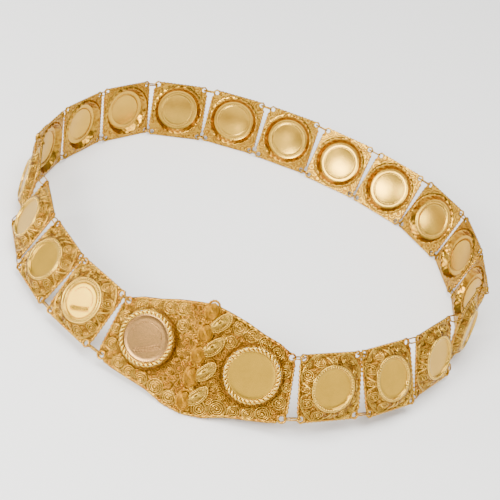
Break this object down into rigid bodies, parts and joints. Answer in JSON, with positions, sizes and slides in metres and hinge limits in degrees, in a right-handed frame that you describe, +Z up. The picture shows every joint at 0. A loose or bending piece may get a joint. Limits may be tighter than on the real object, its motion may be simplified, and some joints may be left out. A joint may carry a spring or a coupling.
{
  "type": "waist chain",
  "caption": "Closed waist chain of hinged square filigree plates, a coin set in each, with a larger two-part clasp under a leaf crest.",
  "frame": {"origin": "middle of the footprint, on the surface that the chain stands on", "axes": "+Z up, -Y towards the clasp, +X along the chain's longest width, to the right of the clasp as seen from the front"},
  "size_m": [0.2804, 0.2724, 0.0502],
  "materials": {
    "gold": "satin high-carat gold",
    "coin_gold": "worn satin gold"
  },
  "bodies": {
    "root": {"clasp_left": "gold", "clasp_right": "gold", "plate_01": "gold", "plate_02": "gold", "plate_03": "gold", "plate_04": "gold", "plate_05": "gold", "plate_06": "gold", "plate_07": "gold", "plate_08": "gold", "plate_09": "gold", "plate_10": "gold", "plate_11": "gold", "plate_12": "gold", "plate_13": "gold", "plate_14": "gold", "plate_15": "gold", "plate_16": "gold", "plate_17": "gold", "plate_18": "gold", "plate_19": "gold", "crest_bud_1": "gold", "crest_bud_2": "gold", "crest_bud_3": "gold", "crest_bud_4": "gold", "crest_bud_5": "gold", "crest_leaf_1": "gold", "crest_leaf_2": "gold", "crest_leaf_3": "gold", "crest_leaf_4": "gold", "coin_01": "coin_gold", "coin_02": "coin_gold", "coin_03": "coin_gold", "coin_04": "coin_gold", "coin_05": "coin_gold", "coin_06": "coin_gold", "coin_07": "coin_gold", "coin_08": "coin_gold", "coin_09": "coin_gold", "coin_10": "coin_gold", "coin_11": "coin_gold", "coin_12": "coin_gold", "coin_13": "coin_gold", "coin_14": "coin_gold", "coin_15": "coin_gold", "coin_16": "coin_gold", "coin_17": "coin_gold", "coin_18": "coin_gold", "coin_19": "coin_gold", "coin_clasp_left": "coin_gold", "coin_clasp_right": "coin_gold"}
  },
  "joints": []
}
